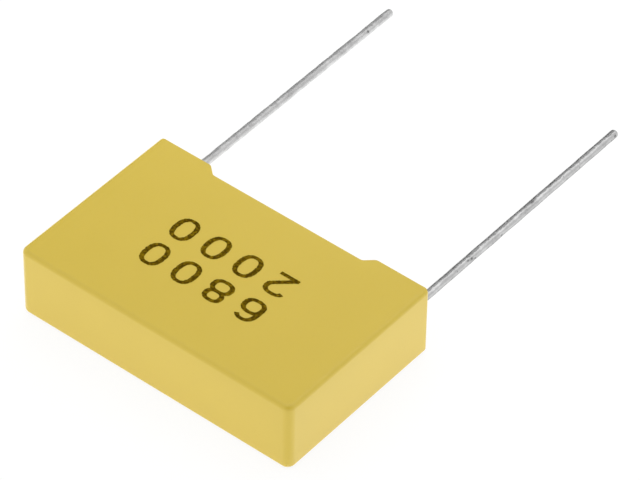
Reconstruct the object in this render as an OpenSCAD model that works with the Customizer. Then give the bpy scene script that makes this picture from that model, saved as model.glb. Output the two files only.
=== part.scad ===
// Box film capacitor: a flattened roll of metallised film with sprayed end
// contacts and two straight wire leads, potted in a moulded plastic box.
// It lies on a broad face: X along its length, +Y towards the leads, +Z up.
// The origin is the centre of the broad face that it lies on.

/* [Leads] */
// Distance between the centres of the two leads
lead_pitch = 22.5; // [15:0.1:37.5]
// Diameter of the lead wire
lead_diameter = 0.7; // [0.5:0.05:1]
// Length of each lead past the feet
lead_length = 26.5; // [3:0.5:40]
// Length of the flattened stretch that is welded to the spray, below the top of the winding
weld_length = 8.5; // [4:0.5:9.5]
// Thickness of that flattened stretch
weld_thickness = 0.45; // [0.3:0.05:0.7]
// Width of that flattened stretch
weld_width = 0.85; // [0.6:0.05:1.4]
// Chamfer along the edges of that flattened stretch
weld_chamfer = 0.12; // [0.02:0.01:0.14]
// How far the round of each lead reaches down into the resin
root_depth = 0.1; // [0.05:0.05:0.5]
// Share of the wire's radius that is rounded off at the tip of each lead
tip_round = 0.8; // [0.2:0.05:0.95]
// How far the leads lie below the mid-plane of the case
lead_drop = 0.4; // [0:0.05:0.9]

/* [Case] */
// How far the case reaches past the centre of each lead
end_overhang = 2; // [1.7:0.05:3]
// Height of the case over the board, from its feet to its closed end
case_height = 16.5; // [14:0.1:30]
// Thickness of the case between its broad faces
case_thickness = 6.5; // [5:0.1:15]
// Thickness of the two broad walls
broad_wall = 0.7; // [0.5:0.05:1]
// Thickness of the two end walls
end_wall = 0.8; // [0.5:0.05:1.1]
// Thickness of the wall at the closed end
closed_wall = 0.8; // [0.6:0.05:1.2]
// Radius of the long edges and of the edges round the closed end
edge_radius = 0.4; // [0.2:0.05:0.9]
// How much larger than that the two corners of the closed end are, seen on a broad face
corner_extra = 0.3; // [0.05:0.05:1]
// Radius of the four long corners inside the cavity
cavity_radius = 0.4; // [0.1:0.05:0.8]

/* [Feet] */
// How far the feet stand out past the cut-back rims of the broad walls
standoff = 0.75; // [0.3:0.05:1.2]
// Length of the flat of each foot, from the end of the case
foot_length = 4.9; // [3:0.05:6.5]
// Slope of the ramp from a foot down to the cut-back rim
ramp_angle = 42; // [25:1:55]
// Radius that rounds the top and the bottom of each ramp
ramp_radius = 0.4; // [0.2:0.05:0.7]

/* [Potting] */
// Depth of the resin surface below the cut-back rims
resin_drop = 0.2; // [0.05:0.05:0.8]
// Resin between the winding and each broad wall
resin_side = 0.4; // [0.2:0.05:0.8]
// Resin between the winding and the closed wall
resin_floor = 0.8; // [0.3:0.05:1.5]
// Resin over the winding at the open end
resin_cover = 1.6; // [0.8:0.05:3]

/* [Winding] */
// Thickness of the sprayed metal layer on each end of the winding
spray_thickness = 0.4; // [0.2:0.05:0.8]

/* [Hidden] */
$fn = 64;

// Segments in each arc of an outline, how far a cut runs past a face, and
// the straight land at each end of the blend on a lead
arc_steps = 8;
overcut = 1;
blend_land = 0.05;

// Radius of the corners of the closed end
corner_radius = edge_radius + corner_extra;

// Levels along Y, from the closed end to the tips of the leads
y_closed = -case_height / 2;
y_corner = y_closed + corner_radius;
y_cavity = y_closed + closed_wall;
y_feet = case_height / 2;
y_rim = y_feet - standoff;
y_resin = y_rim - resin_drop;
y_root = y_resin - root_depth;
y_tip = y_feet + lead_length;

// Mid-plane of the case and of the winding, and the level of the leads
z_mid = case_thickness / 2;
z_lead = z_mid - lead_drop;

// Outside of the case and its cavity
case_length = lead_pitch + 2 * end_overhang;
x_corner = case_length / 2 - corner_radius;
cavity_length = case_length - 2 * end_wall;
cavity_thickness = case_thickness - 2 * broad_wall;

// Rim ramp, from the flat of a foot to the cut-back rim
x_foot = case_length / 2 - foot_length;
ramp_drop = standoff - 2 * ramp_radius * (1 - cos(ramp_angle));
x_rim = x_foot - 2 * ramp_radius * sin(ramp_angle) - ramp_drop / tan(ramp_angle);

// Leads, sprayed layers and winding, set by the pitch and by the cavity
lead_radius = lead_diameter / 2;
tip_radius = tip_round * lead_radius;
lead_x = lead_pitch / 2;
x_spray = lead_x - weld_thickness / 2;
x_film = x_spray - spray_thickness;
winding_radius = cavity_thickness / 2 - resin_side;
y_winding_low = y_cavity + resin_floor;
y_winding_high = y_resin - resin_cover;
y_weld_end = y_winding_high - weld_length;

// Points of an arc about a centre, from one angle to another
function arc(centre, radius, from, to) =
    [for (step = [0:arc_steps])
        let (angle = from + (to - from) * step / arc_steps)
        [centre[0] + radius * cos(angle), centre[1] + radius * sin(angle)]];

// The ramp on the right, from the flat of the foot down to the cut-back rim
ramp_right = concat(
    arc([x_foot, y_feet - ramp_radius], ramp_radius, 90, 90 + ramp_angle),
    arc([x_rim, y_rim + ramp_radius], ramp_radius, 270 + ramp_angle, 270));

// The same ramp mirrored, from the cut-back rim up to the left foot
ramp_left = [for (i = [len(ramp_right) - 1:-1:0]) [-ramp_right[i][0], ramp_right[i][1]]];

// Quarter of a disc, between +X and +Y
module quarter_disc(radius) {
    intersection() {
        circle(radius);
        square(2 * radius);
    }
}

// Half of a disc, on the +Y side
module half_disc(radius) {
    intersection() {
        circle(radius);
        translate([-2 * radius, 0]) square([4 * radius, 2 * radius]);
    }
}

// Rectangle from the Y axis outwards, with its two outer corners rounded
module edge_profile(depth, height, radius) {
    flat = depth - radius;
    square([flat, height]);
    translate([flat, radius]) square([radius, height - 2 * radius]);
    translate([flat, height - radius]) quarter_disc(radius);
    translate([flat, radius]) rotate(-90) quarter_disc(radius);
}

// Rounded bar along Y, centred on X, standing on Z = 0
module rounded_bar(from_y, to_y, length, height, radius) {
    translate([0, to_y, 0]) rotate([90, 0, 0]) linear_extrude(to_y - from_y) {
        edge_profile(length / 2, height, radius);
        mirror([1, 0]) edge_profile(length / 2, height, radius);
    }
}

// Space inside the case, from the closed wall to a level along Y
module cavity(to_y) {
    translate([0, 0, broad_wall])
        rounded_bar(y_cavity, to_y, cavity_length, cavity_thickness, cavity_radius);
}

// Outside of the case: a bar, a rolled closed end and two rolled corners
module case_outside() {
    rounded_bar(y_corner, y_feet, case_length, case_thickness, edge_radius);
    translate([x_corner, y_corner, 0]) rotate([90, 0, -90])
        linear_extrude(2 * x_corner) edge_profile(corner_radius, case_thickness, edge_radius);
    translate([x_corner, y_corner, 0]) rotate(-90)
        rotate_extrude(angle = 90) edge_profile(corner_radius, case_thickness, edge_radius);
    translate([-x_corner, y_corner, 0]) rotate(180)
        rotate_extrude(angle = 90) edge_profile(corner_radius, case_thickness, edge_radius);
}

// Cut between the feet, through the rims of both broad walls
module rim_cut() {
    translate([0, 0, -overcut]) linear_extrude(case_thickness + 2 * overcut)
        polygon(concat(ramp_right, ramp_left,
            [[-x_foot, y_feet + overcut], [x_foot, y_feet + overcut]]));
}

// Slab of the winding's flattened round section, along X
module winding_slab(from_x, to_x) {
    straight_low = y_winding_low + winding_radius;
    straight_high = y_winding_high - winding_radius;
    translate([from_x, 0, z_mid]) rotate([0, 90, 0]) linear_extrude(to_x - from_x) {
        translate([-winding_radius, straight_low])
            square([2 * winding_radius, straight_high - straight_low]);
        translate([0, straight_high]) half_disc(winding_radius);
        translate([0, straight_low]) rotate(180) half_disc(winding_radius);
    }
}

// Section of the flattened stretch of a lead
module weld_section() {
    half_t = weld_thickness / 2;
    half_w = weld_width / 2;
    flat_t = half_t - weld_chamfer;
    flat_w = half_w - weld_chamfer;
    polygon([[half_t, -flat_w], [half_t, flat_w], [flat_t, half_w], [-flat_t, half_w],
        [-half_t, flat_w], [-half_t, -flat_w], [-flat_t, -half_w], [flat_t, -half_w]]);
}

// Places a shape that rises along +Z on the right lead's axis, rising along +Y
module on_lead(level) {
    translate([lead_x, level, z_lead]) rotate([-90, 0, 0]) children();
}

// Right wire: a flattened end, a blend up to the resin surface and a rounded tip
module lead_wire() {
    length = y_tip - y_root;
    tip = arc([lead_radius - tip_radius, length - tip_radius], tip_radius, 0, 90);
    on_lead(y_root)
        rotate_extrude() polygon(concat([[0, 0], [lead_radius, 0]], tip, [[0, length]]));
    hull() {
        on_lead(y_root - blend_land) cylinder(h = blend_land, r = lead_radius, $fn = 32);
        on_lead(y_winding_high) linear_extrude(blend_land) weld_section();
    }
    on_lead(y_weld_end) linear_extrude(weld_length) weld_section();
}

// Moulded box, open at the lead end, with a foot at each corner of its rim
module case() {
    color("#d8bc58") difference() {
        case_outside();
        cavity(y_feet + overcut);
        rim_cut();
    }
}

// Cast resin round the winding, up to just below the cut-back rims
module potting() {
    color("#c9ad62") difference() {
        cavity(y_resin);
        winding_slab(-x_spray, x_spray);
        lead_wire();
        mirror([1, 0, 0]) lead_wire();
    }
}

// Flattened roll of metallised film
module film_winding() {
    color("#c8ccd0") winding_slab(-x_film, x_film);
}

// Contact layer on the left end of the winding
module end_spray_left() {
    color("#8d9194") winding_slab(-x_spray, -x_film);
}

// Contact layer on the right end of the winding
module end_spray_right() {
    color("#8d9194") winding_slab(x_film, x_spray);
}

// Left tinned lead
module lead_left() {
    color("#c4c4c6") mirror([1, 0, 0]) lead_wire();
}

// Right tinned lead
module lead_right() {
    color("#c4c4c6") lead_wire();
}

case();
potting();
film_winding();
end_spray_left();
end_spray_right();
lead_left();
lead_right();
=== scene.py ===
import bmesh
import bpy
import numpy as np
from mathutils import Matrix, Vector


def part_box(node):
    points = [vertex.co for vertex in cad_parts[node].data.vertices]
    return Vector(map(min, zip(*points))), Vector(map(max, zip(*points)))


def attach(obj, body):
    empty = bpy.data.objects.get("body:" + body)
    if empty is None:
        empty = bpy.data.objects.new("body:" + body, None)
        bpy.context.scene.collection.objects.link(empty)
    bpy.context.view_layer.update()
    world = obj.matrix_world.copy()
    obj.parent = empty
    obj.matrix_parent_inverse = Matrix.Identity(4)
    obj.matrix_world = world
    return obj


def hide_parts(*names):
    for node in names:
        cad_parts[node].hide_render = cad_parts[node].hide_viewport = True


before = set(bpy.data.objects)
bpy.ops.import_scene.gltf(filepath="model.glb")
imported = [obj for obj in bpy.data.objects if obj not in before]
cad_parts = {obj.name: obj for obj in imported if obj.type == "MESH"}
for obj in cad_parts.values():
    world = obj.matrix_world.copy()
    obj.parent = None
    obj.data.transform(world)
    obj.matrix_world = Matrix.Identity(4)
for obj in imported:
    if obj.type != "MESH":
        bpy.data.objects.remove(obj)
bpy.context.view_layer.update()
mm = 0.001  # scene units are metres, and the sizes below are millimetres


def boxOf(node):
    # Lowest and highest corner of a CAD node, in millimetres
    return [np.array(corner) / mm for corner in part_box(node)]


caseLow, caseHigh = boxOf("case")
resinLow, resinHigh = boxOf("potting")
weldTop = boxOf("film_winding")[1][1]  # the leads are flattened as far up as the winding goes
leadBoxes = {side: boxOf("lead_" + side) for side in ("left", "right")}
midZ = (caseLow[2] + caseHigh[2]) / 2
print("frame loaded, case", np.round(caseHigh - caseLow, 3))


# Mesh helpers

mergeDistance = 0.0002  # corners closer than this become one


def gridFaces(rows, columns, start=0, wrap=False):
    # Four corners of each cell of a rows by columns grid of vertices, numbered row by row.
    # With wrap the last column joins the first.
    numbers = start + np.arange(rows * columns).reshape(rows, columns)
    if wrap:
        numbers = np.hstack([numbers, numbers[:, :1]])
    corners = [numbers[:-1, :-1], numbers[:-1, 1:], numbers[1:, 1:], numbers[1:, :-1]]
    return np.stack(corners, -1).reshape(-1, 4)


def buildPiece(name, grids, caps=(), smoothAngle=40.0):
    # grids are (points, wrap) pairs, points being rows by columns by three in millimetres.
    # caps are rings of points that one flat face closes. Shared edges merge, normals turn outwards.
    points, faces, count = [], [], 0
    for grid, wrap in grids:
        rows, columns = grid.shape[:2]
        faces += gridFaces(rows, columns, count, wrap).tolist()
        points.append(grid.reshape(-1, 3))
        count += rows * columns
    for ring in caps:
        faces.append(list(range(count, count + len(ring))))
        points.append(ring)
        count += len(ring)
    mesh = bpy.data.meshes.new(name)
    mesh.from_pydata((np.vstack(points) * mm).tolist(), [], faces)
    shape = bmesh.new()
    shape.from_mesh(mesh)
    bmesh.ops.remove_doubles(shape, verts=shape.verts, dist=mergeDistance * mm)
    bmesh.ops.recalc_face_normals(shape, faces=shape.faces)
    shape.to_mesh(mesh)
    shape.free()
    mesh.shade_smooth()
    mesh.set_sharp_from_angle(angle=np.radians(smoothAngle))
    piece = bpy.data.objects.new(name, mesh)
    bpy.context.collection.objects.link(piece)
    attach(piece, "root")
    print(name, len(mesh.vertices), "vertices", len(mesh.polygons), "faces")
    return piece


def packed(low, high, steps, margin):
    # Even steps from low to high, with one close step of the given margin inside each end
    inner = np.linspace(low + margin, high - margin, steps)
    return np.concatenate([[low], inner, [high]])


# Material helpers

# Sockets of a Mix node that is set to colours: how much of the second, the two colours and the result
mixShare, mixFirst, mixSecond, mixResult = 0, 6, 7, 2


def hexColour(code):
    # sRGB hex to linear RGBA: below 0.04045 a straight line, above it the 2.4 power
    value = np.array([int(code[i:i + 2], 16) for i in (1, 3, 5)]) / 255.0
    linear = np.where(value <= 0.04045, value / 12.92, ((value + 0.055) / 1.055) ** 2.4)
    return (*linear.tolist(), 1.0)


def addNode(tree, kind, sockets=None, **settings):
    # One node with its settings. Sockets go by name, or by number where names repeat.
    # A socket given another node's output is linked, any other value is set.
    node = tree.nodes.new(kind)
    for key, value in settings.items():
        setattr(node, key, value)
    for key, value in (sockets or {}).items():
        if isinstance(value, bpy.types.NodeSocket):
            tree.links.new(value, node.inputs[key])
        else:
            node.inputs[key].default_value = value
    return node


def newMaterial(name):
    # A material with an empty node tree
    material = bpy.data.materials.new(name)
    material.use_nodes = True
    tree = material.node_tree
    tree.nodes.clear()
    return material, tree


def perMm(size):
    # Noise scale whose pattern has about this size in millimetres
    return 1.0 / (size * mm)


# Case: filled polyester, injection moulded in a fine satin tool. It gives an even mustard yellow
# with a soft sheen that turns milky at a low angle, and a very fine grain.
casePlasticLook = {
    "body": "#ceb336",
    "cloud": "#d2b73b",
    "fleck": "#cbaf34",
    "cloudSize": 7.0,
    "fleckSize": 0.22,
    "fleckFrom": (0.6, 0.8),    # noise levels at which a fleck starts and is full
    "fleckShare": 0.5,          # how much of its colour a full one shows
    "grainSize": 0.16,          # finer on the real one, and drawn as coarse as it needs to show
    "grainDepth": 0.002,
    "grainBump": 0.15,
    "roughness": (0.28, 0.36),
    "ior": 1.6,
}


def makeCasePlastic():
    look = casePlasticLook
    material, tree = newMaterial("moulded_polyester")
    place = addNode(tree, "ShaderNodeTexCoord").outputs["Object"]
    cloud = addNode(tree, "ShaderNodeTexNoise", {"Vector": place, "Scale": perMm(look["cloudSize"]),
                                                 "Detail": 2.0})
    fleck = addNode(tree, "ShaderNodeTexNoise", {"Vector": place, "Scale": perMm(look["fleckSize"]),
                                                 "Detail": 3.0})
    grain = addNode(tree, "ShaderNodeTexNoise", {"Vector": place, "Scale": perMm(look["grainSize"]),
                                                 "Detail": 2.0})
    body = addNode(tree, "ShaderNodeMix", {
        mixShare: cloud.outputs["Fac"], mixFirst: hexColour(look["body"]),
        mixSecond: hexColour(look["cloud"])}, data_type="RGBA")
    start, full = look["fleckFrom"]
    rare = addNode(tree, "ShaderNodeMapRange", {
        "Value": fleck.outputs["Fac"], "From Min": start, "From Max": full, "To Max": look["fleckShare"]})
    colour = addNode(tree, "ShaderNodeMix", {
        mixShare: rare.outputs["Result"], mixFirst: body.outputs[mixResult],
        mixSecond: hexColour(look["fleck"])}, data_type="RGBA")
    low, high = look["roughness"]
    rough = addNode(tree, "ShaderNodeMapRange", {
        "Value": grain.outputs["Fac"], "To Min": low, "To Max": high})
    bump = addNode(tree, "ShaderNodeBump", {
        "Height": grain.outputs["Fac"], "Strength": look["grainBump"], "Distance": look["grainDepth"] * mm})
    shader = addNode(tree, "ShaderNodeBsdfPrincipled", {
        "Base Color": colour.outputs[mixResult], "Roughness": rough.outputs["Result"], "IOR": look["ior"],
        "Normal": bump.outputs["Normal"]})
    addNode(tree, "ShaderNodeOutputMaterial", {"Surface": shader.outputs["BSDF"]})
    return material


# Resin: filled epoxy, poured and cured in the open box. It gives a darker ochre with a wet gloss,
# soft flow marks and a few tiny pinholes, whose dark is painted shade.
epoxyLook = {
    "body": "#c3a24c",
    "flow": "#b8953f",
    "pinholeShade": "#8f7230",
    "flowSize": 2.4,
    "flowSwirl": 0.6,
    "pinholeSize": 0.5,             # from one to the next
    "pinholeEdge": (0.05, 0.12),    # where its painted dark middle and its fade end, as shares of that distance
    "waveSize": 1.6,
    "waveDepth": 0.03,
    "waveBump": 0.6,
    "roughness": (0.16, 0.3),
    "ior": 1.55,
}


def makeEpoxy():
    look = epoxyLook
    material, tree = newMaterial("cast_epoxy")
    place = addNode(tree, "ShaderNodeTexCoord").outputs["Object"]
    flow = addNode(tree, "ShaderNodeTexNoise", {"Vector": place, "Scale": perMm(look["flowSize"]),
                                                "Detail": 3.0, "Distortion": look["flowSwirl"]})
    body = addNode(tree, "ShaderNodeMix", {
        mixShare: flow.outputs["Fac"], mixFirst: hexColour(look["body"]),
        mixSecond: hexColour(look["flow"])}, data_type="RGBA")
    # Pinholes are dark dots painted in, standing for the shade inside tiny holes
    cells = addNode(tree, "ShaderNodeTexVoronoi", {"Vector": place, "Scale": perMm(look["pinholeSize"])})
    dark, clear = look["pinholeEdge"]
    holeShade = addNode(tree, "ShaderNodeMapRange", {
        "Value": cells.outputs["Distance"], "From Min": dark, "From Max": clear,
        "To Min": 1.0, "To Max": 0.0})
    colour = addNode(tree, "ShaderNodeMix", {
        mixShare: holeShade.outputs["Result"], mixFirst: body.outputs[mixResult],
        mixSecond: hexColour(look["pinholeShade"])}, data_type="RGBA")
    low, high = look["roughness"]
    rough = addNode(tree, "ShaderNodeMapRange", {
        "Value": flow.outputs["Fac"], "To Min": low, "To Max": high})
    wave = addNode(tree, "ShaderNodeTexNoise", {"Vector": place, "Scale": perMm(look["waveSize"])})
    bump = addNode(tree, "ShaderNodeBump", {
        "Height": wave.outputs["Fac"], "Strength": look["waveBump"], "Distance": look["waveDepth"] * mm})
    shader = addNode(tree, "ShaderNodeBsdfPrincipled", {
        "Base Color": colour.outputs[mixResult], "Roughness": rough.outputs["Result"], "IOR": look["ior"],
        "Normal": bump.outputs["Normal"]})
    addNode(tree, "ShaderNodeOutputMaterial", {"Surface": shader.outputs["BSDF"]})
    return material


# Leads: copper wire, drawn and hot tinned. It gives a soft grey metal with lengthwise die lines,
# uneven and duller clouds in the tin, and small dark nicks from handling. Painted shade darkens its dents,
# and a grey tint paints shade into the right wire's reflections at a low angle.
tinnedWireLook = {
    "bright": "#d2d2d2",
    "dull": "#a0a0a0",
    "nickAndDentShade": "#6a6a6a",
    "edge": {"left": "#ffffff", "right": "#a4a4a4"},  # tint of the metal's reflection at a low angle; the right wire's grey is a painted shade on its edges
    "cloudSize": 0.7,
    "cloudFrom": (0.3, 0.7),        # noise levels between which the tin goes from smooth to rough
    "dieLine": 0.05,                # finer on the real one, and drawn as coarse as it needs to show
    "dieRun": 6.0,
    "lineDepth": 0.006,
    "lineBump": 0.5,
    "nickSize": 0.3,
    "nickFrom": (0.66, 0.78),       # noise levels at which a nick starts and is full
    "nickShare": 0.7,
    "dentShadeFrom": (0.24, 0.5),      # the same for the painted shade in a dent, where the noise breaks it up
    "dentShadeShare": 0.9,
    "tinSize": 0.4,
    "tinDepth": 0.08,
    "tinBump": 0.8,
    "roughness": {"left": (0.38, 0.5), "right": (0.16, 0.3)},
}


def makeTinnedWire(side):
    look = tinnedWireLook
    material, tree = newMaterial("tinned_copper_" + side)
    place = addNode(tree, "ShaderNodeTexCoord").outputs["Object"]
    cloud = addNode(tree, "ShaderNodeTexNoise", {"Vector": place, "Scale": perMm(look["cloudSize"]),
                                                 "Detail": 4.0})
    tin = addNode(tree, "ShaderNodeMix", {
        mixShare: cloud.outputs["Fac"], mixFirst: hexColour(look["bright"]),
        mixSecond: hexColour(look["dull"])}, data_type="RGBA")
    stretch = addNode(tree, "ShaderNodeMapping", {
        "Vector": place, "Scale": (perMm(look["dieLine"]), perMm(look["dieRun"]), perMm(look["dieLine"]))})
    lines = addNode(tree, "ShaderNodeTexNoise", {"Vector": stretch.outputs["Vector"], "Scale": 1.0,
                                                 "Detail": 2.0})
    spots = addNode(tree, "ShaderNodeTexNoise", {"Vector": place, "Scale": perMm(look["nickSize"]),
                                                 "Detail": 3.0})
    start, full = look["nickFrom"]
    nicks = addNode(tree, "ShaderNodeMapRange", {
        "Value": spots.outputs["Fac"], "From Min": start, "From Max": full, "To Max": look["nickShare"]})
    # Painted shade: the dent strength that the mesh carries darkens the wire in its dents; the nicks are
    # dark spots of their own
    dents = addNode(tree, "ShaderNodeAttribute", attribute_name="handling")
    broken = addNode(tree, "ShaderNodeMath", {0: dents.outputs["Fac"], 1: spots.outputs["Fac"]},
                     operation="MULTIPLY")
    start, full = look["dentShadeFrom"]
    dentShade = addNode(tree, "ShaderNodeMapRange", {
        "Value": broken.outputs[0], "From Min": start, "From Max": full, "To Max": look["dentShadeShare"]})
    nickAndDentMask = addNode(tree, "ShaderNodeMath", {0: nicks.outputs["Result"], 1: dentShade.outputs["Result"]},
                   operation="MAXIMUM")
    colour = addNode(tree, "ShaderNodeMix", {
        mixShare: nickAndDentMask.outputs[0], mixFirst: tin.outputs[mixResult],
        mixSecond: hexColour(look["nickAndDentShade"])}, data_type="RGBA")
    smooth, dull = look["cloudFrom"]
    low, high = look["roughness"][side]
    rough = addNode(tree, "ShaderNodeMapRange", {
        "Value": cloud.outputs["Fac"], "From Min": smooth, "From Max": dull, "To Min": low, "To Max": high})
    runs = addNode(tree, "ShaderNodeTexNoise", {"Vector": place, "Scale": perMm(look["tinSize"]),
                                                "Detail": 1.0})
    uneven = addNode(tree, "ShaderNodeBump", {
        "Height": runs.outputs["Fac"], "Strength": look["tinBump"], "Distance": look["tinDepth"] * mm})
    bump = addNode(tree, "ShaderNodeBump", {
        "Height": lines.outputs["Fac"], "Strength": look["lineBump"], "Distance": look["lineDepth"] * mm,
        "Normal": uneven.outputs["Normal"]})
    # Specular tint: white on the left wire, grey on the right one, a painted shade on its edge reflections
    shader = addNode(tree, "ShaderNodeBsdfPrincipled", {
        "Base Color": colour.outputs[mixResult], "Metallic": 1.0, "Roughness": rough.outputs["Result"],
        "Specular Tint": hexColour(look["edge"][side]), "Normal": bump.outputs["Normal"]})
    addNode(tree, "ShaderNodeOutputMaterial", {"Surface": shader.outputs["BSDF"]})
    return material


# Marking: thin stamped ink that dries matt. It gives a dark brown that lets a little of the
# yellow through where the stamp pressed less.
inkLook = {
    "dense": "#4a3800",
    "thin": "#8a6f08",
    "patchSize": 0.2,
    "patchFine": 0.6,           # weight of the finer patches
    "thinFrom": (0.44, 0.7),    # noise levels at which the ink starts to thin and is thinnest
    "toothSize": 0.08,
    "toothDepth": 0.005,
    "toothBump": 0.3,
    "roughness": 0.7,
    "specular": 0.03,
}


def makeInk():
    look = inkLook
    material, tree = newMaterial("stamping_ink")
    place = addNode(tree, "ShaderNodeTexCoord").outputs["Object"]
    patch = addNode(tree, "ShaderNodeTexNoise", {"Vector": place, "Scale": perMm(look["patchSize"]),
                                                 "Detail": 3.0, "Roughness": look["patchFine"]})
    start, full = look["thinFrom"]
    press = addNode(tree, "ShaderNodeMapRange", {
        "Value": patch.outputs["Fac"], "From Min": start, "From Max": full})
    colour = addNode(tree, "ShaderNodeMix", {
        mixShare: press.outputs["Result"], mixFirst: hexColour(look["dense"]),
        mixSecond: hexColour(look["thin"])}, data_type="RGBA")
    tooth = addNode(tree, "ShaderNodeTexNoise", {"Vector": place, "Scale": perMm(look["toothSize"])})
    bump = addNode(tree, "ShaderNodeBump", {
        "Height": tooth.outputs["Fac"], "Strength": look["toothBump"], "Distance": look["toothDepth"] * mm})
    shader = addNode(tree, "ShaderNodeBsdfPrincipled", {
        "Base Color": colour.outputs[mixResult], "Roughness": look["roughness"],
        "Specular IOR Level": look["specular"], "Normal": bump.outputs["Normal"]})
    addNode(tree, "ShaderNodeOutputMaterial", {"Surface": shader.outputs["BSDF"]})
    return material


# Winding: metallised polyester film, wound tight. It gives a pale silver with fine edges of film
# running along the roll.
filmLook = {
    "silver": "#c8ccd0",
    "shade": "#9fa5aa",
    "turn": 0.06,           # many turns of the real film, and drawn as coarse as it needs to show
    "along": 8.0,
    "metallic": 0.8,
    "roughness": 0.22,
}


def makeMetallisedFilm():
    look = filmLook
    material, tree = newMaterial("metallised_film")
    place = addNode(tree, "ShaderNodeTexCoord").outputs["Object"]
    stretch = addNode(tree, "ShaderNodeMapping", {
        "Vector": place, "Scale": (perMm(look["along"]), perMm(look["turn"]), perMm(look["turn"]))})
    turns = addNode(tree, "ShaderNodeTexNoise", {"Vector": stretch.outputs["Vector"], "Scale": 1.0})
    colour = addNode(tree, "ShaderNodeMix", {
        mixShare: turns.outputs["Fac"], mixFirst: hexColour(look["silver"]),
        mixSecond: hexColour(look["shade"])}, data_type="RGBA")
    shader = addNode(tree, "ShaderNodeBsdfPrincipled", {
        "Base Color": colour.outputs[mixResult], "Metallic": look["metallic"],
        "Roughness": look["roughness"]})
    addNode(tree, "ShaderNodeOutputMaterial", {"Surface": shader.outputs["BSDF"]})
    return material


# End contacts: zinc sprayed on as molten droplets. It gives a dull grey crust of small grains.
zincLook = {
    "grey": "#9a9ea1",
    "dark": "#6f7376",
    "grain": 0.18,
    "crust": 0.05,
    "crustBump": 0.8,
    "roughness": 0.62,
}


def makeSprayedZinc():
    look = zincLook
    material, tree = newMaterial("sprayed_zinc")
    place = addNode(tree, "ShaderNodeTexCoord").outputs["Object"]
    grains = addNode(tree, "ShaderNodeTexVoronoi", {"Vector": place, "Scale": perMm(look["grain"])})
    colour = addNode(tree, "ShaderNodeMix", {
        mixShare: grains.outputs["Distance"], mixFirst: hexColour(look["grey"]),
        mixSecond: hexColour(look["dark"])}, data_type="RGBA")
    bump = addNode(tree, "ShaderNodeBump", {
        "Height": grains.outputs["Distance"], "Strength": look["crustBump"],
        "Distance": look["crust"] * mm})
    shader = addNode(tree, "ShaderNodeBsdfPrincipled", {
        "Base Color": colour.outputs[mixResult], "Metallic": 1.0, "Roughness": look["roughness"],
        "Normal": bump.outputs["Normal"]})
    addNode(tree, "ShaderNodeOutputMaterial", {"Surface": shader.outputs["BSDF"]})
    return material


materials = {
    "case": makeCasePlastic(),
    "resin": makeEpoxy(),
    # The two wires are copies of one metal; the right one's grey edge tint is painted shade
    "wire_left": makeTinnedWire("left"),
    "wire_right": makeTinnedWire("right"),
    "ink": makeInk(),
    "film": makeMetallisedFilm(),
    "zinc": makeSprayedZinc(),
}
print("materials", len(materials))


# Case shell

caseShape = {
    "edgeRadius": 0.4,      # long edges and edges round the closed end
    "cornerRadius": 0.7,    # corners of the closed end, seen on a broad face
    "broadWall": 0.7,
    "endWall": 0.8,
    "closedWall": 0.8,
    "cavityRadius": 0.4,
    "standoff": 0.75,       # height of the feet over the cut-back rims
    "footLength": 4.9,
    "rampAngle": 42.0,
    "rampRadius": 0.4,
    "rimRound": 0.08,       # small break on the edges of the rim
    "endRound": 0.28,       # larger one on the outer edge of the rim, at the end walls
    "cornerSteps": 17,      # points of the mesh round a corner of the closed end
    "edgeSteps": 13,        # over the quarter round of a long edge
    "wallSteps": 7,         # on the straight between two of those
    "rimSteps": 9,          # over a rounded edge of the rim
    "halfSteps": 90,        # along half of the length
    "levelSteps": 40,       # from the closed end to the rim
    "levelMargin": 0.004,   # close step at both ends of that, as a share of the way
    "cavityLevels": (1.0, 0.97, 0.5, 0.0),  # rows of the cavity's wall, as shares of its depth
}


def rimLine(x):
    # Level of the rim along the length: flat on the feet, an arc, a straight ramp, an arc the other
    # way, and flat on the cut-back rim. It is the same on both sides of the middle.
    shape = caseShape
    feet = caseHigh[1]
    cut = feet - shape["standoff"]
    radius = shape["rampRadius"]
    slope = np.radians(shape["rampAngle"])
    footX = caseHigh[0] - shape["footLength"]
    straight = (shape["standoff"] - 2 * radius * (1 - np.cos(slope))) / np.tan(slope)
    cutX = footX - 2 * radius * np.sin(slope) - straight
    away = np.abs(x)
    upper = feet - radius + np.sqrt(np.maximum(radius ** 2 - (footX - away) ** 2, 0))
    lower = cut + radius - np.sqrt(np.maximum(radius ** 2 - (away - cutX) ** 2, 0))
    rampStart = cutX + radius * np.sin(slope)
    ramp = cut + radius * (1 - np.cos(slope)) + (away - rampStart) * np.tan(slope)
    bands = [away >= footX, away >= footX - radius * np.sin(slope), away >= rampStart, away >= cutX]
    return np.select(bands, [np.full_like(away, feet), upper, ramp, lower], cut)


def casePlan(levels):
    # Plan of the outer wall as a path: down the right side, round a corner arc, along the closed
    # end, round the other corner and up the left side. Gives points and outward directions.
    radius = caseShape["cornerRadius"]
    halfLength = caseHigh[0]
    turn = np.radians(np.linspace(0, 90, caseShape["cornerSteps"]))[1:-1]
    centreX = halfLength - radius
    centreY = caseLow[1] + radius
    half = np.linspace(centreX, 0, caseShape["halfSteps"])
    endX = np.concatenate([half, -half[-2::-1]])
    sideY = centreY + (caseHigh[1] - centreY) * levels[::-1]
    one = np.ones_like
    x = np.concatenate([halfLength * one(sideY), centreX + radius * np.cos(turn), endX,
                        -centreX - radius * np.sin(turn), -halfLength * one(sideY)])
    y = np.concatenate([sideY, centreY - radius * np.sin(turn), caseLow[1] * one(endX),
                        centreY - radius * np.cos(turn), sideY[::-1]])
    outX = np.concatenate([one(sideY), np.cos(turn), 0 * endX, -np.sin(turn), -one(sideY)])
    outY = np.concatenate([0 * sideY, -np.sin(turn), -one(endX), -np.cos(turn), 0 * sideY])
    return np.stack([x, y], -1), np.stack([outX, outY], -1)


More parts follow.
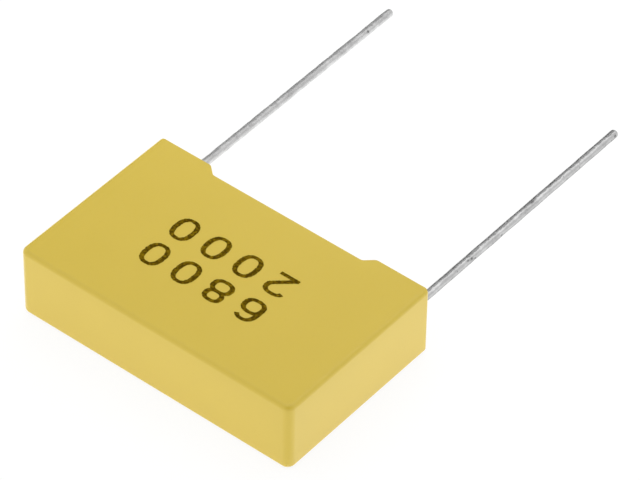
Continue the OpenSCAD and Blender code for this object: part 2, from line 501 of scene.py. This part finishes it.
def caseSection():
    # Section of the outer wall, from the upper broad face down: a quarter round, a straight and a quarter
    # round. Gives how far each point stands in from the wall, its height, and the rounding of the rim's
    # outer edge there: small on the broad faces, and larger the more the point faces along the length.
    shape = caseShape
    edge = shape["edgeRadius"]
    top = caseHigh[2]
    turn = np.radians(np.linspace(0, 90, shape["edgeSteps"]))
    wall = np.linspace(top - edge, edge, shape["wallSteps"] + 2)[1:-1]
    inset = np.concatenate([edge - edge * np.sin(turn), np.zeros_like(wall), edge - edge * np.cos(turn)])
    height = np.concatenate([top - (edge - edge * np.cos(turn)), wall, edge - edge * np.sin(turn)])
    rounding = shape["rimRound"] + (shape["endRound"] - shape["rimRound"]) * (1 - inset / edge) ** 2
    return inset, height, rounding


def caseRim(columnX, inset, height, rounding):
    # Rows of points from the outer edge of the rim to the inner one: a ring round the section is drawn in
    # to the cavity's round-cornered section, with both edges broken by a quarter round. The level follows
    # the rim line at each point's own place.
    shape = caseShape
    top = caseHigh[2]
    right = np.stack([caseHigh[0] - inset, height], -1)[1:-1]
    left = right[::-1] * [-1, 1]
    upper = np.stack([columnX[::-1], np.full_like(columnX, top)], -1)
    lower = np.stack([columnX, np.zeros_like(columnX)], -1)
    outer = np.vstack([upper, right, lower, left])
    radius = shape["cavityRadius"]
    coreX = caseHigh[0] - shape["endWall"] - radius
    coreZ = shape["broadWall"] + radius
    core = np.clip(outer, [-coreX, coreZ], [coreX, top - coreZ])
    reach = outer - core
    inner = core + radius * reach / np.linalg.norm(reach, axis=1)[:, None]
    width = np.linalg.norm(inner - outer, axis=1)
    bend = np.radians(np.linspace(0, 90, shape["rimSteps"]))[:, None]
    broadRound = np.full(len(columnX), shape["rimRound"])
    endRound = rounding[1:-1]
    outerRound = np.concatenate([broadRound, endRound, broadRound, endRound[::-1]])
    innerRound = np.full(len(outer), shape["rimRound"])
    share = np.vstack([outerRound * (1 - np.cos(bend)) / width,
                       1 - innerRound * (1 - np.cos(bend[::-1])) / width])
    down = np.vstack([outerRound * (1 - np.sin(bend)), innerRound * (1 - np.sin(bend[::-1]))])
    ring = outer + (inner - outer) * share[..., None]
    return np.stack([ring[..., 0], rimLine(ring[..., 0]) - down, ring[..., 1]], -1)


def makeCase():
    shape = caseShape
    levels = packed(0.0, 1.0, shape["levelSteps"], shape["levelMargin"])
    plan, out = casePlan(levels)
    inset, height, rounding = caseSection()

    # Side wall: the section carried along the plan. Its straight stretches are drawn back evenly, so that
    # they stop where the outer edge of the rim starts to turn in.
    flat = plan[:, None, :] - out[:, None, :] * inset[None, :, None]
    side = np.concatenate([flat, np.broadcast_to(height[None, :, None], flat.shape[:2] + (1,))], -1)
    cornerY = caseLow[1] + shape["cornerRadius"]
    past = np.maximum(side[..., 1] - cornerY, 0)
    side[..., 1] -= past * rounding[None, :] / (caseHigh[1] - cornerY)

    # Broad faces: columns from the edge round the closed end up to the rim, at the side wall's own points
    count = len(levels)
    closedEdge = flat[count - 1:len(plan) - count + 1, 0]
    columnX = closedEdge[:, 0]
    rimY = rimLine(columnX) - shape["rimRound"]
    broadY = closedEdge[:, 1, None] + (rimY - closedEdge[:, 1])[:, None] * levels[None, :]
    broadX = np.broadcast_to(columnX[:, None], broadY.shape)
    upperFace = np.stack([broadX, broadY, np.full_like(broadY, caseHigh[2])], -1)
    lowerFace = np.stack([broadX, broadY, np.zeros_like(broadY)], -1)

    # Cavity: the rim's inner ring carried down to the closed wall, where a flat floor closes it
    rim = caseRim(columnX, inset, height, rounding)
    floorY = caseLow[1] + shape["closedWall"]
    cavity = np.repeat(rim[-1:], len(shape["cavityLevels"]), axis=0)
    cavity[..., 1] = floorY + (cavity[..., 1] - floorY) * np.array(shape["cavityLevels"])[:, None]
    grids = [(side, False), (upperFace, False), (lowerFace, False), (rim, True), (cavity, True)]
    piece = buildPiece("case_shell", grids, caps=[cavity[-1]])
    piece.data.materials.append(materials["case"])
    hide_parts("case")


makeCase()


# Leads

leadShape = {
    "weldThickness": 0.45,  # flattened stretch against the sprayed end, inside the resin
    "weldWidth": 0.85,
    "weldChamfer": 0.12,
    "wireRadius": 0.35,
    "rootDepth": 0.1,       # start of the round wire, below the resin surface
    "tipRadius": 0.28,
    "lean": {"left": -0.15, "right": 0.06},  # how far each tip stands out to its side
    "dents": {              # larger handling marks: share of the way to the tip, turn in degrees, size
        "left": ((0.18, 20, 0.7), (0.31, 60, 0.8), (0.62, 100, 0.7), (0.872, 33, 1.0), (0.9, 80, 0.8)),
        "right": ((0.27, 55, 0.8), (0.285, 30, 1.1), (0.3, 5, 0.9), (0.426, 4, 0.9), (0.57, 45, 0.6),
                  (0.586, 80, 1.1), (0.743, 5, 0.7), (0.98, 20, 0.9)),
    },
    "dentDepth": 0.022,     # depth, length and spread round the wire, in radians, of a dent of size 1
    "dentLength": 0.24,
    "dentSpread": 0.5,
    "pits": 14,             # small ones, scattered
    "pitSpan": (0.03, 0.97),  # between these shares of the way to the tip
    "pitSize": (0.25, 0.6),
    "waves": 9,             # slow unevenness of the tin
    "waveDepth": 0.026,
    "waveLength": (1.2, 5.0),  # shortest and longest
    "waveTurns": (1, 4),    # waves round the wire, from the first number to below the second
    "setIn": 2.0,           # length over which dents and waves set in
    "seeds": {"left": 11, "right": 5},
    "roundSteps": 48,       # points of the mesh round the wire, then along each stretch
    "weldSteps": 6,
    "weldMargin": 0.05,
    "blendSteps": 12,
    "shaftSteps": 620,
    "tipSteps": 10,
}


def handlingMarks(side, along, angle):
    # Sum of the dents on a wire at places along it and angles round it: each is a bell that dies away
    # with the square of the distance, lengthwise and round the wire, and is as strong as its size
    shape = leadShape
    draw = np.random.default_rng(shape["seeds"][side])
    share, turn, size = np.array(shape["dents"][side]).T
    reach = leadBoxes[side][1][1] - caseHigh[1]
    dentY = caseHigh[1] + reach * np.concatenate([share, draw.uniform(*shape["pitSpan"], shape["pits"])])
    dentAngle = np.concatenate([np.radians(turn), draw.uniform(0, 2 * np.pi, shape["pits"])])
    dentSize = np.concatenate([size, draw.uniform(*shape["pitSize"], shape["pits"])])
    offY = (along[..., None] - dentY) / (shape["dentLength"] * dentSize)
    turned = np.mod(angle[..., None] - dentAngle + np.pi, 2 * np.pi) - np.pi
    offAngle = turned / (shape["dentSpread"] * dentSize)
    return (np.exp(-offY ** 2 - offAngle ** 2) * dentSize).sum(-1)


def tinWaves(side, along, angle):
    # Mean of sine waves that run along the wire and round it, at lengths and phases of their own
    shape = leadShape
    draw = np.random.default_rng(shape["seeds"][side] + 1)
    rate = 2 * np.pi / draw.uniform(*shape["waveLength"], shape["waves"])
    turns = draw.integers(*shape["waveTurns"], shape["waves"])
    phase = draw.uniform(0, 2 * np.pi, shape["waves"])
    return np.sin(rate * along[..., None] + turns * angle[..., None] + phase).mean(-1)


def leanOf(side, along):
    # Sideways shift of a wire's middle line: none up to the resin, then growing evenly to its tip
    start = resinHigh[1]
    return leadShape["lean"][side] * np.clip((along - start) / (leadBoxes[side][1][1] - start), 0, 1)


def weldRadius(angle):
    # Polar radius of a chamfered rectangle: the nearest of its two pairs of sides and of its chamfers
    halfT = leadShape["weldThickness"] / 2
    halfW = leadShape["weldWidth"] / 2
    tiny = 1e-6
    cosine = np.abs(np.cos(angle))
    sine = np.abs(np.sin(angle))
    flatSides = np.minimum(halfT / np.maximum(cosine, tiny), halfW / np.maximum(sine, tiny))
    return np.minimum(flatSides, (halfT + halfW - leadShape["weldChamfer"]) / (cosine + sine))


def makeLead(side):
    # A tube about the wire's axis: its radius depends on the place along the wire and on the angle.
    # The flattened stretch turns into the round wire over the blend, then waves are added, dents are
    # taken off and the tip closes in a quarter round.
    shape = leadShape
    low, high = leadBoxes[side]
    centreX, _, centreZ = (low + high) / 2
    wireRadius = shape["wireRadius"]
    tip = shape["tipRadius"]
    roundFrom = resinHigh[1] - shape["rootDepth"]
    angle = np.linspace(0, 2 * np.pi, shape["roundSteps"], endpoint=False)
    weld = packed(low[1], weldTop, shape["weldSteps"], shape["weldMargin"])
    blend = np.linspace(weldTop, roundFrom, shape["blendSteps"])[1:]
    shaft = np.linspace(roundFrom, high[1] - tip, shape["shaftSteps"])[1:]
    curve = np.radians(np.linspace(0, 90, shape["tipSteps"]))[1:]
    along = np.concatenate([weld, blend, shaft, high[1] - tip + tip * np.sin(curve)])[:, None]
    mix = np.clip((along - weldTop) / (roundFrom - weldTop), 0, 1)
    radius = weldRadius(angle) * (1 - mix) + wireRadius * mix
    loose = np.clip((along - roundFrom) / shape["setIn"], 0, 1)
    waves = shape["waveDepth"] * tinWaves(side, along, angle[None])
    dents = shape["dentDepth"] * handlingMarks(side, along, angle[None])
    radius = radius + loose * (waves - dents)
    radius[-len(curve):] *= 1 - tip / wireRadius * (1 - np.cos(curve))[:, None]
    points = np.stack([centreX + leanOf(side, along) + radius * np.cos(angle),
                       np.broadcast_to(along, radius.shape),
                       centreZ + radius * np.sin(angle)], -1)
    piece = buildPiece("lead_wire_" + side, [(points, True)], caps=[points[0], points[-1]], smoothAngle=50)
    corners = np.empty(len(piece.data.vertices) * 3)
    piece.data.vertices.foreach_get("co", corners)
    x, y, z = corners.reshape(-1, 3).T / mm
    around = np.arctan2(z - centreZ, x - centreX - leanOf(side, y))
    # The dent strength goes to the material, which paints shade into the dents
    handling = piece.data.attributes.new("handling", "FLOAT", "POINT")
    handling.data.foreach_set("value", handlingMarks(side, y, around))
    piece.data.materials.append(materials["wire_" + side])
    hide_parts("lead_" + side)


# Resin surface

resinShape = {
    "skin": 0.02,           # depth of the skin over the cast block at its lowest
    "sunk": 0.05,           # how far the skin reaches down into the block
    "climb": 0.3,           # rise of the resin up each lead
    "climbReach": 0.22,
    "wallClimb": 0.12,      # rise along the walls
    "wallReach": 0.25,
    "clear": 0.01,          # gap to the walls
    "closeFrom": 2.2,       # close columns start this far inside each lead
    "closeSteps": 70,       # points of the mesh in those, between them and across
    "middleSteps": 61,
    "acrossSteps": 81,
}


def makeResinSkin():
    # A height over the cast block: a thin skin, plus a rise that dies away with distance from each
    # lead, plus a smaller one from the walls. Columns along the length end on the round corners.
    shape = resinShape
    halfX = resinHigh[0] - shape["clear"]
    halfZ = (resinHigh[2] - resinLow[2]) / 2 - shape["clear"]
    radius = caseShape["cavityRadius"]
    leadX, _, leadZ = (leadBoxes["right"][0] + leadBoxes["right"][1]) / 2
    near = leadX + np.linspace(-shape["closeFrom"], halfX - leadX, shape["closeSteps"])
    middle = np.linspace(-near[0], near[0], shape["middleSteps"])[1:-1]
    x = np.concatenate([-near[::-1], middle, near])
    past = np.maximum(np.abs(x) - (halfX - radius), 0)
    reachZ = halfZ - radius + np.sqrt(np.maximum(radius ** 2 - past ** 2, 0))
    across = np.sin(np.linspace(-0.5, 0.5, shape["acrossSteps"]) * np.pi)
    gridX = np.broadcast_to(x[:, None], (len(x), len(across)))
    gridZ = reachZ[:, None] * across[None]
    away = np.hypot(np.abs(gridX) - leadX, midZ + gridZ - leadZ)
    climb = shape["climb"] * np.exp(-np.maximum(away - leadShape["wireRadius"], 0) / shape["climbReach"])
    toWall = np.minimum(halfX - np.abs(gridX), reachZ[:, None] - np.abs(gridZ))
    edge = shape["wallClimb"] * np.exp(-toWall / shape["wallReach"])
    level = resinHigh[1] + shape["skin"] + climb + edge
    upper = np.stack([gridX, level, midZ + gridZ], -1)
    lower = upper.copy()
    lower[..., 1] = resinHigh[1] - shape["sunk"]
    borders = [upper[:, 0], upper[:, -1], upper[0], upper[-1]]
    feet = [lower[:, 0], lower[:, -1], lower[0], lower[-1]]
    sides = [(np.stack([a, b]), False) for a, b in zip(borders, feet)]
    piece = buildPiece("resin_skin", [(upper, False), (lower, False)] + sides)
    piece.data.materials.append(materials["resin"])


makeResinSkin()
for side in leadBoxes:
    makeLead(side)


# Marking: two rows of plain digits

markShape = {
    "rows": ("6800", "2000"),
    "rowY": (-2.08, 1.41),      # middle of each row
    "firstX": 4.34,             # middle of the first digit
    "pitch": 3.12,              # from one digit to the next
    "width": 1.58,              # between the middles of a digit's upright strokes
    "height": 2.2,              # between the middles of its top and bottom strokes
    "stroke": (0.43, 0.31),     # width of an upright stroke and of a flat one
    "squareness": 0.8,          # power on the cosine and sine of an oval, 1 being an ellipse
    "film": 0.012,              # thickness of the ink
    "overlap": 0.2,             # how much thicker a second stroke is than the one it crosses
    "sunk": 0.01,               # how far the ink reaches into the plastic
    "ragged": 0.09,             # unevenness of a stroke's edges, as a share of half its width
    "ripples": 14,              # waves that make up that unevenness, along each edge
    "rippleTurns": (6, 48),     # how many of each wave fit on a stroke, from the first to below the second
    "seed": 3,
    "ringSteps": (181, 121),    # points of a tall oval and of a low one
    "arcSteps": 80,
    "lineSteps": 50,
}


def ovalArc(centre, radii, start, stop, steps):
    # Points of part of a squared oval, between two angles in degrees: each radius times the cosine
    # or the sine, whose size is raised to the squareness
    turn = np.radians(np.linspace(start, stop, steps))
    swing = np.stack([np.cos(turn), np.sin(turn)], -1)
    return np.array(centre) + radii * np.sign(swing) * np.abs(swing) ** markShape["squareness"]


def digitStrokes(digit):
    # Middle lines of a digit's strokes about its centre, as arcs and straights, each with whether it
    # closes. Arcs run between angles in degrees.
    shape = markShape
    halfW = shape["width"] / 2
    halfH = shape["height"] / 2
    tall, small = shape["ringSteps"]
    if digit == "0":
        return [(ovalArc((0, 0), (halfW, halfH), 0, 360, tall)[:-1], True)]
    if digit == "8":
        waist = 0.06 * halfH
        upperW = 0.86 * halfW
        upper = ovalArc((0, (halfH + waist) / 2), (upperW, (halfH - waist) / 2), 0, 360, small)[:-1]
        lower = ovalArc((0, (waist - halfH) / 2), (halfW, (halfH + waist) / 2), 0, 360, small)[:-1]
        return [(upper, True), (lower, True)]
    if digit == "6":
        bowl = 0.6 * halfH
        tailStart, tailStop = 42, 190
        tail = ovalArc((0, 0), (halfW, halfH), tailStart, tailStop, shape["arcSteps"])
        loop = ovalArc((0, bowl - halfH), (halfW, bowl), 0, 360, small)[:-1]
        return [(tail, False), (loop, True)]
    # What is left is a 2: a hook that runs down into a sweep, and a base
    crown = 0.5 * halfH
    lift = 0.02  # the sweep ends this far over the middle of the base
    hookStart, hookStop = 165, -38
    hook = ovalArc((0, halfH - crown), (halfW, crown), hookStart, hookStop, shape["arcSteps"])
    foot = np.array([[-halfW, -halfH + lift]])
    sweep = hook[-1] + (foot - hook[-1]) * np.linspace(0, 1, shape["lineSteps"])[1:, None]
    baseX = np.linspace(-halfW - shape["stroke"][0] / 2, halfW, shape["lineSteps"])
    base = np.stack([baseX, np.full_like(baseX, -halfH)], -1)
    return [(np.vstack([hook, sweep]), False), (base, False)]


def strokeBand(line, closed, thickness, draw):
    # A flat strip along a line: each point is moved half a stroke to both sides, square to the line,
    # more or less by a sum of waves along each edge, on the ink's upper face and again on its lower one
    shape = markShape
    if closed:
        ahead = np.roll(line, -1, axis=0) - np.roll(line, 1, axis=0)
    else:
        ahead = np.gradient(line, axis=0)
    ahead = ahead / np.linalg.norm(ahead, axis=1)[:, None]
    square = np.stack([-ahead[:, 1], ahead[:, 0]], -1) * shape["stroke"] / 2
    turns = draw.integers(*shape["rippleTurns"], (2, 1, shape["ripples"]))
    phase = draw.uniform(0, 2 * np.pi, turns.shape)
    share = np.linspace(0, 2 * np.pi, len(line), endpoint=not closed)[None, :, None]
    uneven = 1 + shape["ragged"] * np.sin(turns * share + phase).sum(-1) / np.sqrt(shape["ripples"])
    left = line + square * uneven[0, :, None]
    right = line - square * uneven[1, :, None]
    upper = np.full((len(line), 1), thickness)
    lower = np.full((len(line), 1), -shape["sunk"])
    corners = [np.hstack(pair) for pair in ((left, upper), (right, upper), (right, lower), (left, lower))]
    return np.stack(corners, 0 if closed else 1)


def makeMarking():
    # Digits lie on the upper broad face, with their heads towards the closed end and their feet towards
    # the leads
    shape = markShape
    draw = np.random.default_rng(shape["seed"])
    grids, caps = [], []
    for row, rowY in zip(shape["rows"], shape["rowY"]):
        for place, digit in enumerate(row):
            columnX = shape["firstX"] - place * shape["pitch"]
            for order, (line, closed) in enumerate(digitStrokes(digit)):
                band = strokeBand(line, closed, shape["film"] * (1 + shape["overlap"] * order), draw)
                band = band * [-1, -1, 1] + [columnX, rowY, caseHigh[2]]
                if closed:
                    band = np.concatenate([band, band[:1]])
                else:
                    caps += [band[0], band[-1]]
                grids.append((band, True))
    piece = buildPiece("marking_ink", grids, caps)
    piece.data.materials.append(materials["ink"])


makeMarking()


# Pieces that stay as the CAD made them

heldFinish = {
    "potting": "resin",
    "film_winding": "film",
    "end_spray_left": "zinc",
    "end_spray_right": "zinc",
}
for node, finish in heldFinish.items():
    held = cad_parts[node]
    held.data.materials.clear()
    held.data.materials.append(materials[finish])
print("inner pieces dressed")


# Studio: white floor, soft lamps, grey cards and a pale world. Its sizes are metres.

studio = {
    "floorSize": 3.0,
    "floorTone": "#f2f2f2",
    "floorGlow": 0.9,       # what the eye and reflections see of the floor besides its own light
    "floorShade": 0.14,     # how much of its own light they see, which carries the shadow
    "skyLight": 0.5,
    "lamps": {              # light is what falls on a surface of the object that faces the lamp, and
                            # only the one marked inGloss shows in reflections
        "left": dict(toward=(-0.50, -0.84, 0.19), distance=0.5, size=(0.5, 0.3), light=0.18),
        "right": dict(toward=(0.84, 0.50, 0.19), distance=0.5, size=(0.5, 0.3), light=0.16),
        "over": dict(toward=(-0.25, 0.10, 0.96), distance=0.36, size=(0.45, 0.45), light=0.515),
        "back": dict(toward=(-0.30, 0.80, 0.52), distance=0.08, size=(0.06, 0.06), light=0.27),
        "streak": dict(toward=(0.19, 0.575, 0.796), distance=0.5, size=(0.3, 0.3), light=0.05,
                       inGloss=True),
    },
    "trayLevel": 0.0001,
    "traySize": 0.5,
    # Pairs of lamps that lie face up in the four squares round the near corner of the case:
    # brightness that gloss doesn't show, and brightness that it does
    "trays": {
        (-1, -1): (0.77, 0.04),
        (1, 1): (0.6, 0.24),
        (-1, 1): (0.0, 0.54),
        (1, -1): (0.58, 0.0),
    },
    "cards": {
        "high": dict(toward=(-0.447, 0.575, 0.685), distance=0.6, size=(0.5, 0.3), tone="#d6d6d6"),
        "low": dict(toward=(-0.78, 0.60, 0.15), distance=0.55, size=(0.5, 0.3), tone="#5a5a5a"),
        "near": dict(toward=(0.447, -0.575, 0.685), distance=0.25, size=(0.28, 0.2), tone="#929292"),
    },
}


def facing(toward, distance):
    # Placement at that distance from the object, with the local Z axis pointing away from it, so that
    # a lamp shines back at it
    away = Vector(toward).normalized()
    return Matrix.Translation(away * distance) @ away.to_track_quat("Z", "Y").to_matrix().to_4x4()


def addPlane(name, width, height):
    # A flat rectangle about the origin
    w, h = width / 2, height / 2
    mesh = bpy.data.meshes.new(name)
    mesh.from_pydata([(-w, -h, 0), (w, -h, 0), (w, h, 0), (-w, h, 0)], [], [(0, 1, 2, 3)])
    plane = bpy.data.objects.new(name, mesh)
    bpy.context.collection.objects.link(plane)
    return plane


def seenWhite(tree):
    # 1 where the eye, a reflection or a clear piece looks straight at it
    path = addNode(tree, "ShaderNodeLightPath").outputs
    first = addNode(tree, "ShaderNodeMath", {0: path["Is Camera Ray"], 1: path["Is Glossy Ray"]},
                    operation="MAXIMUM")
    both = addNode(tree, "ShaderNodeMath", {0: first.outputs[0], 1: path["Is Transmission Ray"]},
                   operation="MAXIMUM")
    return both.outputs[0]


def makeFloor():
    # The eye and reflections see a glow and a faint share of the floor's own light, the rest sees it plain
    floor = addPlane("floor", studio["floorSize"], studio["floorSize"])
    material, tree = newMaterial("white_floor")
    tone = hexColour(studio["floorTone"])
    faintTone = tuple(studio["floorShade"] * channel for channel in tone[:3]) + (1,)
    plain = addNode(tree, "ShaderNodeBsdfDiffuse", {"Color": tone})
    faint = addNode(tree, "ShaderNodeBsdfDiffuse", {"Color": faintTone})
    glow = addNode(tree, "ShaderNodeEmission", {"Strength": studio["floorGlow"]})
    seen = addNode(tree, "ShaderNodeAddShader", {0: faint.outputs[0], 1: glow.outputs[0]})
    mix = addNode(tree, "ShaderNodeMixShader", {
        0: seenWhite(tree), 1: plain.outputs[0], 2: seen.outputs[0]})
    addNode(tree, "ShaderNodeOutputMaterial", {"Surface": mix.outputs[0]})
    floor.data.materials.append(material)


def addLamp(name, size, energy, place, inGloss):
    # A rectangular lamp that the camera doesn't see
    data = bpy.data.lights.new("lamp_" + name, "AREA")
    data.shape = "RECTANGLE"
    data.size, data.size_y = size
    data.energy = energy
    lamp = bpy.data.objects.new("lamp_" + name, data)
    lamp.matrix_world = place
    lamp.visible_camera = False
    lamp.visible_glossy = inGloss
    bpy.context.collection.objects.link(lamp)


def makeLamps():
    # Lamp power from the light wanted on a facing surface: light times pi squared times distance squared.
    # A tray's is its brightness times pi times its area, and the second of a pair lies over the first.
    for name, lamp in studio["lamps"].items():
        energy = lamp["light"] * (np.pi * lamp["distance"]) ** 2
        place = facing(lamp["toward"], lamp["distance"])
        addLamp(name, lamp["size"], energy, place, lamp.get("inGloss", False))
    size = studio["traySize"]
    for (towardX, towardY), pair in studio["trays"].items():
        middleX = caseHigh[0] * mm + towardX * size / 2
        middleY = caseLow[1] * mm + towardY * size / 2
        for order, brightness in enumerate(pair):
            level = studio["trayLevel"] * (1 + order)
            faceUp = Matrix.Translation((middleX, middleY, level)) @ Matrix.Rotation(np.pi, 4, "X")
            energy = brightness * np.pi * size ** 2
            addLamp(f"tray{towardX}{towardY}{order}", (size, size), energy, faceUp, order == 1)


def makeCards():
    # Grey cards that the top of the case and the wires reflect, out of the picture
    for name, card in studio["cards"].items():
        plane = addPlane("card_" + name, *card["size"])
        plane.matrix_world = facing(card["toward"], card["distance"])
        plane.visible_camera = False
        material, tree = newMaterial("card_" + name)
        paper = addNode(tree, "ShaderNodeBsdfDiffuse", {"Color": hexColour(card["tone"])})
        addNode(tree, "ShaderNodeOutputMaterial", {"Surface": paper.outputs[0]})
        plane.data.materials.append(material)


def makeWorld():
    # White where the eye or a reflection meets it, and a weaker light on everything else
    white = (1, 1, 1, 1)
    world = bpy.data.worlds.new("studio")
    bpy.context.scene.world = world
    world.use_nodes = True
    tree = world.node_tree
    tree.nodes.clear()
    light = addNode(tree, "ShaderNodeBackground", {"Color": white, "Strength": studio["skyLight"]})
    seen = addNode(tree, "ShaderNodeBackground", {"Color": white, "Strength": 1.0})
    mix = addNode(tree, "ShaderNodeMixShader", {
        0: seenWhite(tree), 1: light.outputs[0], 2: seen.outputs[0]})
    addNode(tree, "ShaderNodeOutputWorld", {"Surface": mix.outputs[0]})


makeFloor()
makeLamps()
makeCards()
makeWorld()
print("studio ready")


# Camera: long lens, above the near corner of the closed end. Its sizes are millimetres again.

view = {
    "azimuth": 38.42,           # from straight in front of the closed end, towards the right
    "elevation": 43.703,
    "roll": 1.093,
    "aim": (3.557, 7.137, 6.5),  # point at the middle of the picture
    "distance": 334.9,
    "lens": 248.45,
    "sensor": 36.0,
    "clip": (10.0, 20000.0),
}


def makeCamera():
    around = np.radians(view["azimuth"])
    up = np.radians(view["elevation"])
    back = Vector((np.sin(around) * np.cos(up), -np.cos(around) * np.cos(up), np.sin(up)))
    data = bpy.data.cameras.new("camera")
    data.lens = view["lens"]
    data.sensor_width = view["sensor"]
    data.clip_start, data.clip_end = [reach * mm for reach in view["clip"]]
    camera = bpy.data.objects.new("camera", data)
    level = back.to_track_quat("Z", "Y").to_matrix().to_4x4()
    roll = Matrix.Rotation(np.radians(view["roll"]), 4, "Z")
    place = Vector(view["aim"]) * mm + back * view["distance"] * mm
    camera.matrix_world = Matrix.Translation(place) @ level @ roll
    bpy.context.collection.objects.link(camera)
    bpy.context.scene.camera = camera


makeCamera()
bpy.context.scene.view_settings.view_transform = "Standard"
bpy.context.view_layer.update()
